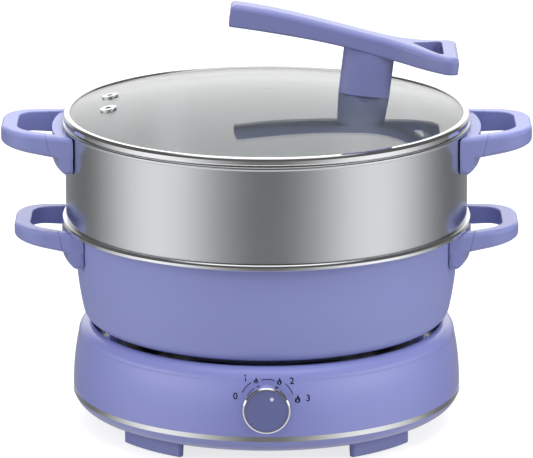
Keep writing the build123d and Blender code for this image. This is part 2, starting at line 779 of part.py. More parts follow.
def make_tray():
    tray = disc(skirt_r - steel_t - hang_gap, tray_z, tray_z + tray_t)
    holes = [disc(tray_hole_r, tray_z, tray_z + tray_t)]
    for ring in range(1, tray_rings + 1):
        radius = ring * tray_ring_step
        count = 6 * ring
        for step in range(count):
            x, y = around(radius, 360 / count * step)
            holes.append(disc(tray_hole_r, tray_z, tray_z + tray_t, x, y))
    return tray - holes


nodes["steamer_wall"] = make_steamer()
nodes["steamer_tray"] = make_tray()


# ---- Side handles ----
def grip_half(x, wall_r, grip_reach, inset):
    """Half width at x, inset from the loop's sides by one amount at the root and another at its end."""
    share = (x - wall_r + grip_root_in) / (grip_reach + grip_root_in)
    root_half = grip_root_half - inset[0]
    end_half = grip_end_half - inset[1]
    return root_half + share * (end_half - root_half)


def loop_plan(x_low, x_high, wall_r, grip_reach, corner_r, inset=(0, 0)):
    """Plan between two distances from the axis, its outer corners rounded."""
    half_low = grip_half(x_low, wall_r, grip_reach, inset)
    half_high = grip_half(x_high, wall_r, grip_reach, inset)
    upper = [(x_high, half_high), (x_low, half_low)]
    lower = [(x_low, -half_low), (x_high, -half_high)]
    face = make_face(Polyline(*lower, *upper, close=True))
    outer = face.vertices().sort_by(Axis.X)[-2:]
    return fillet(outer, corner_r)


def make_loop(wall_r, top_z, grip_reach, grip_h):
    """Grip loop before the pad is cut from it: rises and thins towards its outer end."""
    end_x = wall_r + grip_reach
    root_x = wall_r - grip_root_in
    end_top_z = top_z + grip_rise
    end_low_z = end_top_z - grip_h + grip_taper
    root_low_z = top_z - grip_h
    side = Polyline((root_x, top_z), (end_x, end_top_z), (end_x, end_low_z), (root_x, root_low_z), close=True)
    slab = extrude(make_face(Plane.XZ * side), 2 * grip_root_half, both=True)
    outside = loop_plan(root_x, end_x, wall_r, grip_reach, grip_corner_r)
    opening = loop_plan(wall_r, end_x - cross_w, wall_r, grip_reach, grip_hole_r, arm_w)
    solid = slab & (Pos(0, 0, top_z - 3 * grip_h) * extrude(outside, 6 * grip_h))
    long_edges = solid.edges().filter_by(lambda e: e.center().X > wall_r and abs(e.tangent_at(0.5).Z) < 0.9)
    solid = fillet(long_edges, grip_edge_r)
    solid -= Pos(0, 0, top_z - 3 * grip_h) * extrude(opening, 6 * grip_h)
    return fillet(opening_edges(solid, wall_r, grip_reach), hole_edge_r)


def opening_edges(solid, wall_r, grip_reach):
    """Upper and lower edges of the finger opening."""
    picked = []
    for edge in solid.edges():
        middle = edge.position_at(0.5)
        half = grip_half(middle.X, wall_r, grip_reach, arm_w)
        within_x = wall_r < middle.X < wall_r + grip_reach - cross_w + hang_gap
        within_y = abs(middle.Y) < half + hang_gap
        if within_x and within_y and abs(edge.tangent_at(0.5).Z) < 0.9:
            picked.append(edge)
    return picked


def pot_core(stand_off):
    """Solid inside the pot's wall, stand_off outside its surface, up to the flange."""
    _, _, end, mid, top = pot_outline(-stand_off)
    flare = (flange_r - band_lip + stand_off + fit_gap, flange_z + band_t)
    outline = Curve() + [
        Line((0, end[1]), end),
        ThreePointArc(end, mid, top),
        Line(top, flare),
        Line(flare, (0, flare[1])),
        Line((0, flare[1]), (0, end[1])),
    ]
    return spin(outline)


def steamer_core(stand_off):
    return disc(steamer_r + stand_off, steamer_seat_z, steamer_top_z)


def make_pad(wall_r, top_z, grip_reach, pad_h):
    """Block on the wall, rounded towards the wall at its lower edge."""
    low_z = top_z - pad_h
    face_r = wall_r + bracket_t + pad_t
    inner_r = wall_r - pad_t
    straight_z = low_z + pad_face_low
    foot_r = face_r - pad_foot_in
    belly_in, belly_up = pad_belly
    outline = Curve() + [
        Line((inner_r, low_z), (inner_r, top_z)),
        Line((inner_r, top_z), (face_r, top_z)),
        Line((face_r, top_z), (face_r, straight_z)),
        ThreePointArc((face_r, straight_z), (face_r - belly_in, low_z + belly_up), (foot_r, low_z)),
        Line((foot_r, low_z), (inner_r, low_z)),
    ]
    block = spin(outline, 2 * degrees(asin(pad_half_w / inner_r)))
    window = extrude(Plane.YZ * RectangleRounded(2 * pad_half_w, pad_h, pad_corner_r), 2 * wall_r)
    plan = loop_plan(wall_r - grip_root_in, wall_r + grip_reach, wall_r, grip_reach, grip_corner_r)
    flush_sides = Pos(0, 0, low_z) * extrude(plan, pad_h)
    return block & (Pos(0, 0, low_z + pad_h / 2) * window) & flush_sides


def bevel_seam(piece, seam_x, grip_h):
    """Bevel the outline of the two arm ends at the leaning seam."""
    lean = radians(seam_lean)
    edges = []
    for face in piece.faces():
        normal = face.normal_at()
        across = abs(normal.X * cos(lean) - normal.Z * sin(lean))
        if face.geom_type == GeomType.PLANE and across > 0.999 and abs(face.center().X - seam_x) < grip_h / 2:
            edges.extend(face.edges())
    return chamfer(edges, seam_edge)


def handle_set(prefix, core, wall_r, top_z, grip_reach, grip_h):
    """Mounts, grips, brackets and screws on both sides of a tier."""
    pad_h = grip_h + pad_tab
    loop = make_loop(wall_r, top_z, grip_reach, grip_h)
    beyond_seam = Pos(wall_r + grip_reach - grip_len, 0, top_z) * Rot(0, seam_lean, 0) * Box(
        2 * grip_reach, 4 * grip_root_half, 6 * grip_h, align=(Align.MIN, Align.CENTER, Align.CENTER)
    )
    grip = bevel_seam(loop & beyond_seam, wall_r + grip_reach - grip_len, grip_h)
    arms = bevel_seam(loop - beyond_seam, wall_r + grip_reach - grip_len, grip_h)
    mount = arms + make_pad(wall_r, top_z, grip_reach, pad_h) - core(bracket_t)
    bracket_low_z = top_z - pad_h + bracket_margin
    bracket_high_z = top_z - bracket_margin
    window = Pos(0, 0, bracket_low_z) * Box(
        wall_r + grip_reach,
        2 * bracket_half_w,
        bracket_high_z - bracket_low_z,
        align=(Align.MIN, Align.CENTER, Align.MIN),
    )
    bracket = (core(bracket_t) - core(bracket_fit)) & window
    screw_z = top_z - grip_screw_drop
    pad_face_x = sqrt((wall_r + bracket_t + pad_t) ** 2 - grip_screw_y**2) - grip_screw_sink
    head_x = pad_face_x - grip_screw_head_h
    shank_x = sqrt(wall_r**2 - grip_screw_y**2) + bracket_t / 2
    screws = []
    length, width, depth = grip_screw_cross
    cross_shape = Box(2 * depth, length, width) + Box(2 * depth, width, length)
    for y in (-grip_screw_y, grip_screw_y):
        cross = Pos(pad_face_x, y, screw_z) * cross_shape
        head = rod_x(grip_screw_head_r, head_x, pad_face_x, y, screw_z)
        screws.append(head + rod_x(screw_r, shank_x, head_x, y, screw_z) - cross)
        mount -= rod_x(grip_screw_head_r + fit_gap, head_x, pad_face_x + grip_reach, y, screw_z)
        mount -= rod_x(screw_r + run_gap, shank_x - pad_t, head_x, y, screw_z)
        bracket -= rod_x(screw_r + run_gap, shank_x - bracket_t, shank_x + bracket_t, y, screw_z)
    flip = Rot(0, 0, 180)
    nodes[prefix + "_mount_right"] = mount
    nodes[prefix + "_mount_left"] = flip * mount
    nodes[prefix + "_grip_right"] = grip
    nodes[prefix + "_grip_left"] = flip * grip
    nodes[prefix + "_brackets"] = group([bracket, flip * bracket])
    nodes[prefix + "_handle_screws"] = group(screws + [flip * s for s in screws])


handle_set("pot", pot_core, pot_top_r, pot_handle_top_z, pot_grip_reach, pot_grip_h)
handle_set("steamer", steamer_core, steamer_r, steamer_handle_top_z, steamer_grip_reach, steamer_grip_h)


# ---- Lid ----
def dome(radius):
    return Pos(0, 0, dome_centre_z) * Sphere(radius)


def dome_z(x, y, radius):
    return dome_centre_z + sqrt(radius**2 - x**2 - y**2)


def on_dome(x, y):
    """Frame at the top of the glass above (x, y), with its Z along the dome's normal."""
    z = dome_z(x, y, dome_r)
    normal = Vector(x, y, z - dome_centre_z)
    across = Vector(normal.Z, 0, -normal.X)
    return Plane(origin=(x, y, z), x_dir=across, z_dir=normal)


def make_glass():
    cap = disc(lid_edge_r, glass_edge_z - 2 * glass_t, glass_edge_z + 2 * dome_rise)
    glass = cap & dome(dome_r)
    glass -= dome(dome_r - glass_t)
    for x, y in vent_at:
        glass -= on_dome(x, y) * Cylinder(vent_tube_r, 4 * glass_t)
    return glass - on_dome(stem_x, 0) * Cylinder(screw_lid_r + fit_gap, 4 * glass_t)


def make_lid_ring():
    top_z = lid_low_z + lid_ring_h
    in_r = lid_ring_in_r
    bevel_in, bevel_down = lid_ring_bevel
    foot_in_r, foot_up = lid_ring_foot
    outline = Polyline(
        (in_r, lid_low_z - lid_skirt_h),
        (in_r + lid_skirt_t, lid_low_z - lid_skirt_h),
        (in_r + lid_skirt_t, lid_low_z),
        (lid_ring_r - foot_in_r, lid_low_z),
        (lid_ring_r, lid_low_z + foot_up),
        (lid_ring_r, top_z - lid_ring_edge - bevel_down),
        (lid_ring_r - bevel_in, top_z - lid_ring_edge),
        (lid_ring_r - bevel_in - lid_ring_edge, top_z),
        (in_r + lid_ring_edge, top_z),
        (in_r, top_z - lid_ring_edge),
        close=True,
    )
    ring = spin(outline)
    slot = disc(lid_edge_r + glass_fit, glass_edge_z - 2 * glass_t, top_z + dome_rise)
    slot = slot & dome(dome_r + glass_fit)
    return ring - (slot - dome(dome_r - glass_t - glass_fit))


def make_vent(x, y):
    frame = on_dome(x, y)
    top = frame * Pos(0, 0, vent_flange_t / 2) * Cylinder(vent_r, vent_flange_t)
    low = frame * Pos(0, 0, -glass_t - vent_flange_t / 2) * Cylinder(vent_r, vent_flange_t)
    neck = frame * Pos(0, 0, -glass_t / 2) * Cylinder(vent_tube_r, glass_t + vent_flange_t)
    ring_top = top - dome(dome_r)
    ring_low = low & dome(dome_r - glass_t)
    eyelet = ring_top + neck + ring_low
    return eyelet - frame * Cylinder(vent_bore_r, 6 * glass_t)


def bar_side_face():
    top = Spline(*[Vector(x, z) for x, z in bar_top])
    under = Spline(*[Vector(x, z) for x, z in reversed(bar_under)])
    left = Line(bar_under[0], bar_top[0])
    right = Line(bar_top[-1], bar_under[-1])
    return Pos(stem_x, 0, dome_top_z) * make_face(Plane.XZ * (Curve() + [left, top, right, under]))


def make_bar():
    slab = extrude(bar_side_face(), loop_w, both=True)
    start_x = stem_x + bar_under[0][0]
    loop_start_x = stem_x + loop_start
    loop_end_x = stem_x + loop_end
    half = bar_w / 2
    loop_half = loop_w / 2
    bend_x = loop_end_x - loop_corner_r
    plan = Polyline(
        (start_x, -half),
        (loop_start_x, -half),
        (bend_x, -loop_half),
        (loop_end_x, -loop_half + loop_corner_r / 2),
        (loop_end_x, loop_half - loop_corner_r / 2),
        (bend_x, loop_half),
        (loop_start_x, half),
        (start_x, half),
        close=True,
    )
    plan_face = make_face(plan)
    throat = plan_face.vertices().filter_by_position(Axis.X, loop_start_x - seek, loop_start_x + seek)
    plan_face = fillet(throat, loop_throat_r)
    bend = plan_face.vertices().filter_by_position(Axis.X, bend_x - seek, bend_x + seek)
    plan_face = fillet(bend, loop_corner_r)
    low_z = dome_top_z - loop_w
    block = Pos(0, 0, low_z) * extrude(plan_face, 3 * loop_w)
    bar = slab & block
    upper_faces = bar.faces().filter_by(lambda face: face.normal_at().Z > 0.7)
    bar = fillet(upper_faces.edges(), bar_edge_r)
    under_faces = bar.faces().filter_by(lambda face: face.normal_at().Z < -0.7)
    bar = fillet(under_faces.edges(), bar_under_r)
    hole = make_face(
        Polyline(
            (stem_x + hole_tip, 0),
            (stem_x + hole_end, -hole_w / 2),
            (stem_x + hole_end, hole_w / 2),
            close=True,
        )
    )
    hole = fillet(hole.vertices(), hole_corner_r)
    return bar - Pos(0, 0, low_z) * extrude(hole, 3 * loop_w)


def make_stem(bar):
    frame = on_dome(stem_x, 0)
    section = frame * Ellipse(stem_w / 2, stem_d / 2)
    column = extrude(section, bar_top[0][1])
    column += extrude(section, -glass_t)
    column -= dome(dome_r)
    column -= bar
    pieces = column.solids().sort_by(Axis.Z)
    stem = pieces[0]
    return stem - frame * Cylinder(screw_lid_r, 2 * stem_screw_depth)


nodes["lid_glass"] = make_glass()
nodes["lid_ring"] = make_lid_ring()
nodes["lid_vents"] = group([make_vent(x, y) for x, y in vent_at])
nodes["lid_handle_bar"] = make_bar()
nodes["lid_handle_stem"] = make_stem(nodes["lid_handle_bar"])
stem_frame = on_dome(stem_x, 0)
dome_sag = washer_r**2 / (2 * (dome_r - glass_t))
washer_top = -glass_t - dome_sag
washer = stem_frame * Pos(0, 0, washer_top - washer_t / 2) * Cylinder(washer_r, washer_t)
nodes["lid_handle_washer"] = washer - stem_frame * Cylinder(screw_lid_r + run_gap, 6 * glass_t)
head_top = washer_top - washer_t
head_mid = head_top - screw_lid_head_h / 2
shank_len = stem_screw_depth - head_top
lid_screw = stem_frame * Pos(0, 0, head_mid) * Cylinder(screw_lid_head_r, screw_lid_head_h)
lid_screw += stem_frame * Pos(0, 0, head_top + shank_len / 2) * Cylinder(screw_lid_r, shank_len)
cross_len, cross_w = screw_lid_cross
cross = Box(cross_len, cross_w, screw_lid_head_h) + Box(cross_w, cross_len, screw_lid_head_h)
lid_screw -= stem_frame * Pos(0, 0, head_top - screw_lid_head_h) * cross
nodes["lid_handle_screw"] = lid_screw

os.makedirs("parts", exist_ok=True)
for node_name, shape in nodes.items():
    export_step(shape, f"parts/{node_name}.step")
print(len(nodes), "nodes written")
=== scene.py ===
"""Electric hot pot with a steamer tier and a glass lid: finishes, printed dial, studio and camera."""

import math

import bmesh
import bpy
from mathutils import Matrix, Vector
from mathutils.bvhtree import BVHTree


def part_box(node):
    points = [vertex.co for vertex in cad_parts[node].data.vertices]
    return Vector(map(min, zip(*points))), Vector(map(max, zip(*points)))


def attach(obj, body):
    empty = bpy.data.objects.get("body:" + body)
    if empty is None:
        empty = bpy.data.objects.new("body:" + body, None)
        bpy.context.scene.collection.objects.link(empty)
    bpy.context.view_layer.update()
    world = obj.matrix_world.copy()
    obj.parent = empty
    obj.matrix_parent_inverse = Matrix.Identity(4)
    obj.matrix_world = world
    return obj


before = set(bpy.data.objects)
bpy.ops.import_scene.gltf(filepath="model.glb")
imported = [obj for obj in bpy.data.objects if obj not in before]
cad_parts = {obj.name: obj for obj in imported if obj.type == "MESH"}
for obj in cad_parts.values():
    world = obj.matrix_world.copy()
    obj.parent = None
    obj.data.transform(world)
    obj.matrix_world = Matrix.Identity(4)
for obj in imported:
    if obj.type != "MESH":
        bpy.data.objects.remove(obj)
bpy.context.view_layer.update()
MM = 0.001

# ---- Colours, linear ----
LAVENDER = (0.262, 0.285, 0.640, 1)
LAVENDER_SATIN = (0.232, 0.256, 0.540, 1)
LAVENDER_HANDLE = (0.192, 0.211, 0.448, 1)
LAVENDER_ENAMEL = (0.268, 0.297, 0.610, 1)
# painted shade: the knob's lavender is darkened to stand for the shade on its upright front
KNOB_LAVENDER_PAINTED_SHADE = (0.135, 0.150, 0.345, 1)
STEEL = (0.665, 0.690, 0.710, 1)
TRIM_STEEL = (0.80, 0.81, 0.82, 1)
# painted shade: steel darkened to stand for the shade inside the steamer and the base
STEEL_INSIDE_PAINTED_SHADE = (0.34, 0.35, 0.36, 1)
CHROME = (0.90, 0.90, 0.91, 1)
ALUMINIUM = (0.60, 0.60, 0.61, 1)
PRINT_INK = (0.008, 0.008, 0.018, 1)
RUBBER = (0.022, 0.022, 0.024, 1)
DARK_PLASTIC = (0.020, 0.020, 0.022, 1)
CERAMIC = (0.70, 0.66, 0.56, 1)
SILICONE = (0.36, 0.030, 0.022, 1)
HEATED_STEEL = (0.16, 0.13, 0.12, 1)
POINTER_WHITE = (0.70, 0.71, 0.86, 1)


# ---- Shader helpers ----
BRIGHTEST = 4.0   # the highest result a ramp may give


def add_node(tree, kind, **settings):
    node = tree.nodes.new(kind)
    for name, value in settings.items():
        setattr(node, name, value)
    return node


def feed(tree, node, **inputs):
    """Set or link a node's inputs by name, underscores standing for spaces."""
    for name, value in inputs.items():
        socket = node.inputs[name.replace("_", " ")]
        if isinstance(value, bpy.types.NodeSocket):
            tree.links.new(value, socket)
        else:
            socket.default_value = value
    return node


def math_node(tree, operation, first, second=None):
    node = add_node(tree, "ShaderNodeMath", operation=operation)
    for index, value in enumerate((first, second)):
        if isinstance(value, bpy.types.NodeSocket):
            tree.links.new(value, node.inputs[index])
        elif value is not None:
            node.inputs[index].default_value = value
    return node.outputs[0]


def ramp(tree, value, stops):
    """Map a value through straight runs between (value, result) stops."""
    node = add_node(tree, "ShaderNodeFloatCurve")
    low = stops[0][0]
    span = stops[-1][0] - low
    curve = node.mapping.curves[0]
    node.mapping.clip_max_y = BRIGHTEST
    while len(curve.points) < len(stops):
        curve.points.new(0.5, 0.5)
    for point, (at, result) in zip(curve.points, stops):
        point.location = ((at - low) / span, result)
        point.handle_type = "VECTOR"
    node.mapping.update()
    share = math_node(tree, "DIVIDE", math_node(tree, "SUBTRACT", value, low), span)
    tree.links.new(share, node.inputs["Value"])
    return node.outputs[0]


def new_effect(name, inputs, outputs):
    """An empty shader group with the given inputs (name, kind, default) and outputs (name, kind)."""
    tree = bpy.data.node_groups.new(name, "ShaderNodeTree")
    for label, kind, default in inputs:
        socket = tree.interface.new_socket(label, in_out="INPUT", socket_type="NodeSocket" + kind)
        socket.default_value = default
    for label, kind in outputs:
        tree.interface.new_socket(label, in_out="OUTPUT", socket_type="NodeSocket" + kind)
    source = tree.nodes.new("NodeGroupInput").outputs
    result = tree.nodes.new("NodeGroupOutput").inputs
    return tree, source, result


# ---- Effects that several finishes share ----
def make_drift_effect():
    """Slow change of tone and gloss over a surface, and a fine grain as height."""
    tree, given, result = new_effect(
        "surface_drift",
        [
            ("Color", "Color", (0.5, 0.5, 0.5, 1)),
            ("Tone Drift", "Float", 0.04),
            ("Roughness", "Float", 0.3),
            ("Gloss Drift", "Float", 0.06),
            ("Patch Size", "Float", 0.06),
            ("Grain Size", "Float", 0.0008),
            ("Grain Depth", "Float", 0.00001),
        ],
        [("Color", "Color"), ("Roughness", "Float"), ("Height", "Float")],
    )
    place = add_node(tree, "ShaderNodeTexCoord").outputs["Object"]
    patch = add_node(tree, "ShaderNodeTexNoise")
    feed(tree, patch, Vector=place, Detail=3.0, Scale=math_node(tree, "DIVIDE", 1.0, given["Patch Size"]))
    grain = add_node(tree, "ShaderNodeTexNoise")
    feed(tree, grain, Vector=place, Detail=2.0, Scale=math_node(tree, "DIVIDE", 1.0, given["Grain Size"]))
    centred = math_node(tree, "SUBTRACT", patch.outputs["Fac"], 0.5)
    tone = math_node(tree, "ADD", 1.0, math_node(tree, "MULTIPLY", centred, given["Tone Drift"]))
    shade = add_node(tree, "ShaderNodeHueSaturation")
    feed(tree, shade, Color=given["Color"], Value=tone)
    gloss_change = math_node(tree, "MULTIPLY", centred, given["Gloss Drift"])
    gloss = math_node(tree, "ADD", given["Roughness"], gloss_change)
    height = math_node(tree, "MULTIPLY", grain.outputs["Fac"], given["Grain Depth"])
    tree.links.new(shade.outputs[0], result["Color"])
    tree.links.new(gloss, result["Roughness"])
    tree.links.new(height, result["Height"])
    return tree


def make_brushed_effect():
    """Fine lines that run round the pot's axis: a streak mask and their height."""
    tree, given, result = new_effect(
        "brushed_round",
        [
            ("Line Pitch", "Float", 0.0004),
            ("Line Turns", "Float", 9.0),
            ("Line Depth", "Float", 0.000004),
        ],
        [("Streaks", "Float"), ("Height", "Float")],
    )
    split = add_node(tree, "ShaderNodeSeparateXYZ")
    tree.links.new(add_node(tree, "ShaderNodeTexCoord").outputs["Object"], split.inputs[0])
    x, y, z = split.outputs
    radius = math_node(
        tree,
        "SQRT",
        math_node(tree, "ADD", math_node(tree, "MULTIPLY", x, x), math_node(tree, "MULTIPLY", y, y)),
    )
    angle = math_node(tree, "MULTIPLY", math_node(tree, "ARCTAN2", x, y), given["Line Turns"])
    wrapped = add_node(tree, "ShaderNodeCombineXYZ")
    tree.links.new(math_node(tree, "DIVIDE", radius, given["Line Pitch"]), wrapped.inputs[0])
    tree.links.new(angle, wrapped.inputs[1])
    tree.links.new(math_node(tree, "DIVIDE", z, given["Line Pitch"]), wrapped.inputs[2])
    lines = add_node(tree, "ShaderNodeTexNoise")
    feed(tree, lines, Vector=wrapped.outputs[0], Scale=1.0, Detail=3.0)
    tree.links.new(lines.outputs["Fac"], result["Streaks"])
    tree.links.new(math_node(tree, "MULTIPLY", lines.outputs["Fac"], given["Line Depth"]), result["Height"])
    return tree


DRIFT = make_drift_effect()
BRUSHED = make_brushed_effect()


# ---- Finishes ----
def new_material(name, **constants):
    """A material and its Principled shader, with constants on the shader's own sockets."""
    material = bpy.data.materials.new(name)
    material.use_nodes = True
    tree = material.node_tree
    shader = tree.nodes["Principled BSDF"]
    feed(tree, shader, **constants)
    return material, tree, shader


def place_effect(tree, effect, **inputs):
    node = add_node(tree, "ShaderNodeGroup", node_tree=effect)
    feed(tree, node, **inputs)
    return node.outputs


def bump(tree, shader, height, strength=1.0):
    node = add_node(tree, "ShaderNodeBump")
    feed(tree, node, Height=height, Distance=1.0, Strength=strength)
    tree.links.new(node.outputs[0], shader.inputs["Normal"])


def plain_finish(name, color, roughness, grain_size, grain_depth, drift=0.05, gloss_drift=0.05, **constants):
    """A finish with drifting tone and gloss and a fine grain."""
    material, tree, shader = new_material(name, **constants)
    effect = place_effect(
        tree,
        DRIFT,
        Color=color,
        Tone_Drift=drift,
        Roughness=roughness,
        Gloss_Drift=gloss_drift,
        Grain_Size=grain_size,
        Grain_Depth=grain_depth,
    )
    feed(tree, shader, Base_Color=effect["Color"], Roughness=effect["Roughness"])
    bump(tree, shader, effect["Height"])
    return material


def brushed_finish(name, color, roughness, line_pitch, line_depth, contrast=0.10, **constants):
    """Metal with fine lines round the axis."""
    material, tree, shader = new_material(name, Metallic=1.0, **constants)
    lines = place_effect(tree, BRUSHED, Line_Pitch=line_pitch, Line_Depth=line_depth)
    drift = place_effect(tree, DRIFT, Color=color, Tone_Drift=0.03, Roughness=roughness, Grain_Depth=0.0)
    centred = math_node(tree, "SUBTRACT", lines["Streaks"], 0.5)
    shade = add_node(tree, "ShaderNodeHueSaturation")
    value = math_node(tree, "ADD", 1.0, math_node(tree, "MULTIPLY", centred, contrast))
    feed(tree, shade, Color=drift["Color"], Value=value)
    rough = math_node(tree, "ADD", drift["Roughness"], math_node(tree, "MULTIPLY", centred, contrast))
    feed(tree, shader, Base_Color=shade.outputs[0], Roughness=rough)
    bump(tree, shader, lines["Height"])
    return material


def glass_finish(name, tint, ior):
    """Clear glass with a barely drifting tint."""
    material, tree, shader = new_material(name, Transmission_Weight=1.0, IOR=ior, Metallic=0.0)
    drift = place_effect(
        tree, DRIFT, Color=tint, Tone_Drift=0.01, Roughness=0.0, Gloss_Drift=0.0, Grain_Depth=0.0
    )
    feed(tree, shader, Base_Color=drift["Color"], Roughness=drift["Roughness"])
    return material


FINISHES = {
    "lavender_gloss": plain_finish(
        "lavender_gloss", LAVENDER, 0.22, 0.004, 0.0000015, Coat_Weight=0.35, Coat_Roughness=0.04
    ),
    "lavender_satin": plain_finish("lavender_satin", LAVENDER_SATIN, 0.26, 0.0006, 0.000003),
    "lavender_handle": plain_finish("lavender_handle", LAVENDER_HANDLE, 0.22, 0.0006, 0.000003),
    "lavender_enamel": plain_finish("lavender_enamel", LAVENDER_ENAMEL, 0.42, 0.0009, 0.000004),
    # knob finish: lavender with painted shade, darker for the shade on the knob's upright front
    "knob_lavender_painted_shade": plain_finish("knob_lavender_painted_shade", KNOB_LAVENDER_PAINTED_SHADE, 0.38, 0.0004, 0.000004),
    "pointer_white": plain_finish("pointer_white", POINTER_WHITE, 0.4, 0.0004, 0.000003),
    "steel_wall": brushed_finish("steel_wall", STEEL, 0.24, 0.0004, 0.0000008, contrast=0.05),
    # inner steel with painted shade: a darker copy of the steel for the shaded inside
    "steel_inside_painted_shade": brushed_finish("steel_inside_painted_shade", STEEL_INSIDE_PAINTED_SHADE, 0.42, 0.0006, 0.0000008, contrast=0.04),
    "steel_small": plain_finish("steel_small", STEEL, 0.30, 0.0006, 0.000006, Metallic=1.0),
    "vent_steel": plain_finish("vent_steel", STEEL, 0.14, 0.0006, 0.000004, Metallic=1.0),
    "chrome": plain_finish("chrome", CHROME, 0.07, 0.003, 0.0000008, gloss_drift=0.04, Metallic=1.0),
    "trim_steel": brushed_finish("trim_steel", TRIM_STEEL, 0.10, 0.0005, 0.000001, contrast=0.04),
    "aluminium_turned": brushed_finish("aluminium_turned", ALUMINIUM, 0.36, 0.0009, 0.00001, contrast=0.2),
    "heated_steel": plain_finish("heated_steel", HEATED_STEEL, 0.45, 0.0008, 0.00001, Metallic=1.0),
    "rubber": plain_finish("rubber", RUBBER, 0.72, 0.0008, 0.00003),
    "dark_plastic": plain_finish("dark_plastic", DARK_PLASTIC, 0.45, 0.0007, 0.00001),
    "ceramic": plain_finish("ceramic", CERAMIC, 0.62, 0.0009, 0.00002),
    "silicone": plain_finish("silicone", SILICONE, 0.5, 0.0009, 0.00001),
    "print_ink": plain_finish("print_ink", PRINT_INK, 0.55, 0.0004, 0.000003, Specular_IOR_Level=0.15),
    "clear_glass": glass_finish("clear_glass", (0.93, 0.95, 0.95, 1), 1.5),
}
NODE_FINISH = {
    "base_upper_housing": "lavender_gloss",
    "base_lower_housing": "lavender_gloss",
    "base_trim_band": "trim_steel",
    "base_screws": "steel_small",
    "foot_front_left": "lavender_satin",
    "foot_front_right": "lavender_satin",
    "foot_rear_left": "lavender_satin",
    "foot_rear_right": "lavender_satin",
    "foot_pads": "rubber",
    "heater_plate": "aluminium_turned",
    "heating_element": "heated_steel",
    "heat_reflector": "steel_inside_painted_shade",
    "plate_standoffs": "steel_small",
    "sensor_guide": "steel_small",
    "sensor_spring": "steel_small",
    "thermal_sensor": "aluminium_turned",
    "thermostat": "ceramic",
    "thermal_fuse": "ceramic",
    "dial_collar": "dark_plastic",
    "rotary_switch": "dark_plastic",
    "power_inlet": "dark_plastic",
    "inlet_pins": "chrome",
    "internal_leads": "silicone",
    "control_knob": "knob_lavender_painted_shade",
    "knob_ring": "chrome",
    "knob_pointer": "pointer_white",
    "switch_shaft": "steel_small",
    "pot_body": "lavender_enamel",
    "pot_rim_band": "chrome",
    "pot_base_disc": "aluminium_turned",
    "pot_mount_left": "lavender_satin",
    "pot_mount_right": "lavender_satin",
    "pot_grip_left": "lavender_satin",
    "pot_grip_right": "lavender_satin",
    "pot_brackets": "steel_small",
    "pot_handle_screws": "steel_small",
    "steamer_wall": "steel_wall",
    "steamer_tray": "steel_inside_painted_shade",
    "steamer_mount_left": "lavender_satin",
    "steamer_mount_right": "lavender_satin",
    "steamer_grip_left": "lavender_satin",
    "steamer_grip_right": "lavender_satin",
    "steamer_brackets": "steel_small",
    "steamer_handle_screws": "steel_small",
    "lid_glass": "clear_glass",
    "lid_ring": "chrome",
    "lid_vents": "vent_steel",
    "lid_handle_bar": "lavender_handle",
    "lid_handle_stem": "lavender_handle",
    "lid_handle_washer": "steel_small",
    "lid_handle_screw": "steel_small",
}


def dress_nodes():
    """Give each solid its finish."""
    for name, finish in NODE_FINISH.items():
        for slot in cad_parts[name].material_slots:
            slot.link = "OBJECT"
            slot.material = FINISHES[finish]


dress_nodes()


# ---- Printed dial ----
KNOB_Z = 50.3 * MM
INK_LIFT = 0.06 * MM
DIGIT_HEIGHT = 4.7 * MM
CAPITAL_SHARE = 0.7   # a number's height as a share of the font's size
STROKE_GROWTH = 0.11 * MM
DIGIT_PLACES = (("0", 23.4, 165), ("1", 24.8, 128), ("2", 25.2, 43), ("3", 30.6, 8))   # mm, degrees
FLAME_PLACES = ((19.6, 113, 0.85), (19.8, 62, 1.0), (23.0, 11, 1.15))   # mm, degrees, size
FLAME_HEIGHT = 5.2 * MM
ARC_SPANS = ((19.8, 125, 153), (18.8, 72, 101), (20.6, 22, 49))   # mm, degrees, degrees
ARC_WIDTH = 0.62 * MM
ARC_STEPS = 16
WRAP_CUTS = 4   # each edge is cut so often before it is laid on the curved wall
START_CLEAR = 1.2   # rays start this much further out than the housing


def flat_mesh(name, outlines):
    """Filled faces in the XZ plane from closed (x, z) outlines; one inside another is a hole."""
    mesh = bpy.data.meshes.new(name)
    cells = bmesh.new()
    for outline in outlines:
        corners = [cells.verts.new((x, 0, z)) for x, z in outline]
        for near, far in zip(corners, corners[1:] + corners[:1]):
            cells.edges.new((near, far))
    bmesh.ops.triangle_fill(cells, use_beauty=True, use_dissolve=False, edges=cells.edges, normal=(0, -1, 0))
    cells.to_mesh(mesh)
    cells.free()
    piece = bpy.data.objects.new(name, mesh)
    bpy.context.scene.collection.objects.link(piece)
    return piece


FLAME_SIDE = ((0.0, 0.50), (0.16, 0.22), (0.32, -0.08), (0.34, -0.28), (0.22, -0.46), (0.06, -0.50))
FLAME_BACK = ((-0.10, -0.50), (-0.26, -0.44), (-0.35, -0.26), (-0.31, -0.06), (-0.20, 0.08), (-0.12, 0.02))
FLAME_CORE = ((0.0, -0.02), (0.12, -0.22), (0.10, -0.38), (0.0, -0.42), (-0.10, -0.38), (-0.12, -0.22))
ONE_OUTLINE = (
    (0.08, -0.5), (0.08, 0.5), (-0.02, 0.5), (-0.22, 0.36), (-0.22, 0.24), (-0.07, 0.33), (-0.07, -0.5)
)


def dial_place(radius, angle):
    """The (x, z) of a place round the knob, from millimetres and degrees."""
    turn = math.radians(angle)
    return radius * MM * math.cos(turn), radius * MM * math.sin(turn)


def placed(outline, x, z, size):
    """A unit outline at its size and place."""
    return [(x + size * across, z + size * up) for across, up in outline]


def flame_outlines(x, z, size):
    """A leaning flame, and the small drop left open in its middle."""
    return [placed(FLAME_SIDE + FLAME_BACK, x, z, size), placed(FLAME_CORE, x, z, size)]


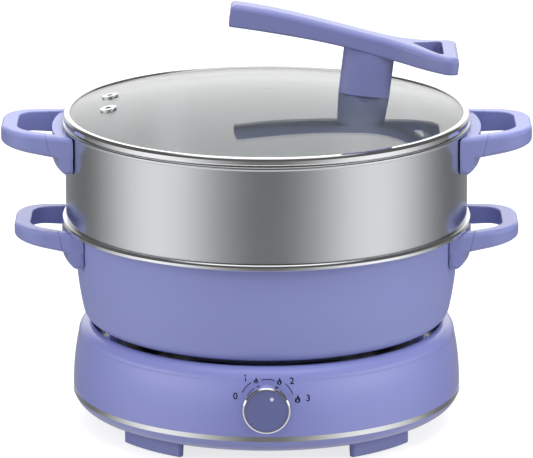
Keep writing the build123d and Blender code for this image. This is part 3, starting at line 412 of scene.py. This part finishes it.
def arc_outline(radius, start, stop, width):
    """A curved stroke between two angles, as one closed outline."""
    turns = [math.radians(start + (stop - start) * k / ARC_STEPS) for k in range(ARC_STEPS + 1)]
    outer = [((radius + width / 2) * math.cos(t), (radius + width / 2) * math.sin(t)) for t in turns]
    inner = [((radius - width / 2) * math.cos(t), (radius - width / 2) * math.sin(t)) for t in turns]
    return outer + inner[::-1]


def digit_piece(text, radius, angle):
    """A plain number as a mesh in the XZ plane, centred on its place round the knob."""
    x, z = dial_place(radius, angle)
    if text == "1":   # the font's own breaks up when its stroke is widened
        return flat_mesh("dial_digit_1", [placed(ONE_OUTLINE, x, z, DIGIT_HEIGHT)])
    curve = bpy.data.curves.new("digit_" + text, "FONT")
    curve.body = text
    curve.size = DIGIT_HEIGHT / CAPITAL_SHARE
    curve.offset = STROKE_GROWTH
    curve.align_x = "CENTER"
    curve.align_y = "CENTER"
    lettering = bpy.data.objects.new("digit_" + text, curve)
    mesh = bpy.data.meshes.new_from_object(lettering)
    bpy.data.objects.remove(lettering)
    for vertex in mesh.vertices:
        vertex.co = (vertex.co.x + x, 0, vertex.co.y + z)
    piece = bpy.data.objects.new("dial_digit_" + text, mesh)
    bpy.context.scene.collection.objects.link(piece)
    return piece


def wrap_on_wall(piece):
    """Lay a flat piece on the housing's curved front, just clear of it."""
    cells = bmesh.new()
    cells.from_mesh(piece.data)
    bmesh.ops.subdivide_edges(cells, edges=cells.edges, cuts=WRAP_CUTS)
    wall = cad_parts["base_upper_housing"]
    tree = BVHTree.FromObject(wall, bpy.context.evaluated_depsgraph_get())
    front_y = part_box("base_upper_housing")[0].y * START_CLEAR
    for vertex in cells.verts:
        start = Vector((vertex.co.x, front_y, KNOB_Z + vertex.co.z))
        hit, _, _, _ = tree.ray_cast(start, Vector((0, 1, 0)))
        vertex.co = hit - INK_LIFT * Vector((0, 1, 0))
    bmesh.ops.recalc_face_normals(cells, faces=cells.faces)
    cells.to_mesh(piece.data)
    cells.free()


def make_dial_print():
    """Flames, arcs and numbers in ink, carried by the base."""
    flames = []
    for radius, angle, size in FLAME_PLACES:
        flames += flame_outlines(*dial_place(radius, angle), FLAME_HEIGHT * size)
    arcs = [arc_outline(radius * MM, start, stop, ARC_WIDTH) for radius, start, stop in ARC_SPANS]
    pieces = [flat_mesh("dial_flames", flames), flat_mesh("dial_arcs", arcs)]
    pieces += [digit_piece(*place) for place in DIGIT_PLACES]
    for piece in pieces:
        wrap_on_wall(piece)
        piece.data.materials.clear()
        piece.data.materials.append(FINISHES["print_ink"])
        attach(piece, "base")


make_dial_print()


# ---- Studio ----
# How much of the side boxes shows at each turn from straight ahead, degrees.
BOX_SPREAD = (
    (0, 0), (9, 0), (24, 0.22), (36, 0.52), (48, 0.84), (60, 1),
    (72, 1), (84, 0.8), (98, 0.44), (112, 0.12), (124, 0), (180, 0)
)
REAR_FROM = (136.0, 164.0)   # the rear wall comes in between these
# Each zone of the room: (degrees of elevation, brightness).
BOX_LEVEL = ((-90, 0.7), (-50, 1.0), (-20, 1.0), (-4, 0.9), (1, 2.2), (12, 2.2), (14, 0.1), (90, 0.1))
DARK_LEVEL = ((-90, 0.9), (-50, 0.9), (-28, 0.42), (-18, 0.19), (12, 0.10), (50, 0.10), (90, 0.2))
REAR_LEVEL = ((-90, 0.9), (-50, 0.85), (-24, 0.34), (-12, 0.30), (-3, 0.7), (6, 1.4), (50, 1.8), (90, 1.5))
TOP_LEVEL = ((-90, 0), (56, 0), (68, 1.2), (90, 1.2))
# What matt surfaces are lit by, in front and behind.
SOFT_LEVEL = ((-90, 0.34), (-10, 0.50), (20, 0.60), (60, 0.72), (90, 0.80))
SOFT_REAR = ((-90, 0.34), (-10, 0.50), (4, 2.2), (40, 2.2), (60, 0.72), (90, 0.80))
FLOOR_SIZE = 12.0
FLOOR_TONE = 0.42
FLOOR_GLOW = 0.76   # brings the floor up to white for the eye
LAMPS = (   # name, place, aim, size in metres, watts
    ("top_light", (0.2, -0.3, 1.8), (0, 0, 0.2), 1.4, 19),
    ("left_light", (-1.9, -1.0, 1.0), (0, 0, 0.15), 1.2, 14),
    ("right_light", (1.9, -1.0, 1.0), (0, 0, 0.15), 1.2, 14),
)
CAMERA_PLACE = (0, -3.3795, 1.0416)
CAMERA_DROP = 14.868   # degrees the camera looks down
CAMERA_LENS = 314.9


def blend(tree, share, first, second):
    """Mix two numbers by a share from 0 to 1."""
    node = add_node(tree, "ShaderNodeMix", data_type="FLOAT")
    for socket, value in zip((node.inputs[0], node.inputs[2], node.inputs[3]), (share, first, second)):
        if isinstance(value, bpy.types.NodeSocket):
            tree.links.new(value, socket)
        else:
            socket.default_value = value
    return node.outputs[0]


def make_world():
    """Room in zones for polished surfaces, softer light for matt ones, and white for the eye."""
    world = bpy.data.worlds.new("studio_room")
    bpy.context.scene.world = world
    world.use_nodes = True
    tree = world.node_tree
    background = tree.nodes["Background"]
    split = add_node(tree, "ShaderNodeSeparateXYZ")
    tree.links.new(add_node(tree, "ShaderNodeTexCoord").outputs["Generated"], split.inputs[0])
    x, y, z = split.outputs
    forward = math_node(tree, "MULTIPLY", y, -1.0)
    azimuth = math_node(tree, "ABSOLUTE", math_node(tree, "ARCTAN2", x, forward))
    azimuth = math_node(tree, "DEGREES", azimuth)
    elevation = math_node(tree, "DEGREES", math_node(tree, "ARCSINE", z))
    sides = ramp(tree, azimuth, BOX_SPREAD)
    rear = ramp(tree, azimuth, [(0, 0), (REAR_FROM[0], 0), (REAR_FROM[1], 1), (180, 1)])
    front = blend(tree, sides, ramp(tree, elevation, DARK_LEVEL), ramp(tree, elevation, BOX_LEVEL))
    walls = blend(tree, rear, front, ramp(tree, elevation, REAR_LEVEL))
    room = math_node(tree, "MAXIMUM", walls, ramp(tree, elevation, TOP_LEVEL))
    path = add_node(tree, "ShaderNodeLightPath").outputs
    soft = blend(tree, rear, ramp(tree, elevation, SOFT_LEVEL), ramp(tree, elevation, SOFT_REAR))
    lit = blend(tree, path["Is Glossy Ray"], soft, room)
    seen = math_node(tree, "MAXIMUM", path["Is Camera Ray"], path["Is Transmission Ray"])
    background.inputs["Color"].default_value = (1, 1, 1, 1)
    tree.links.new(blend(tree, seen, lit, 1.0), background.inputs["Strength"])


def make_floor():
    """Pale floor: white to the eye, with the object's shadow, and a weaker bounce."""
    bpy.ops.mesh.primitive_plane_add(size=FLOOR_SIZE)
    floor = bpy.context.object
    floor.name = "studio_floor"
    material, tree, shader = new_material("pale_floor", Roughness=0.9)
    feed(tree, shader, Base_Color=(FLOOR_TONE, FLOOR_TONE, FLOOR_TONE, 1), Emission_Color=(1, 1, 1, 1))
    shader.inputs["Specular IOR Level"].default_value = 0.0
    path = add_node(tree, "ShaderNodeLightPath").outputs
    seen = math_node(tree, "MAXIMUM", path["Is Camera Ray"], path["Is Transmission Ray"])
    tree.links.new(math_node(tree, "MULTIPLY", seen, FLOOR_GLOW), shader.inputs["Emission Strength"])
    floor.data.materials.append(material)
    floor.visible_glossy = False


def add_lamp(name, place, target, size, watts):
    """A round soft lamp that neither the camera nor a reflection shows."""
    light = bpy.data.lights.new(name, "AREA")
    light.shape = "DISK"
    light.size = size
    light.energy = watts
    lamp = bpy.data.objects.new(name, light)
    lamp.location = place
    lamp.rotation_euler = (Vector(target) - Vector(place)).to_track_quat("-Z", "Y").to_euler()
    lamp.visible_glossy = False
    lamp.visible_camera = False
    bpy.context.scene.collection.objects.link(lamp)


def make_camera():
    """Long lens, a little above the object."""
    camera_data = bpy.data.cameras.new("product_camera")
    camera_data.sensor_width = 36
    camera_data.lens = CAMERA_LENS
    camera_data.clip_end = 50
    camera = bpy.data.objects.new("product_camera", camera_data)
    camera.location = CAMERA_PLACE
    camera.rotation_euler = (math.radians(90 - CAMERA_DROP), 0, 0)
    bpy.context.scene.collection.objects.link(camera)
    bpy.context.scene.camera = camera


make_world()
make_floor()
for lamp_values in LAMPS:
    add_lamp(*lamp_values)
make_camera()
bpy.context.scene.view_settings.view_transform = "Standard"
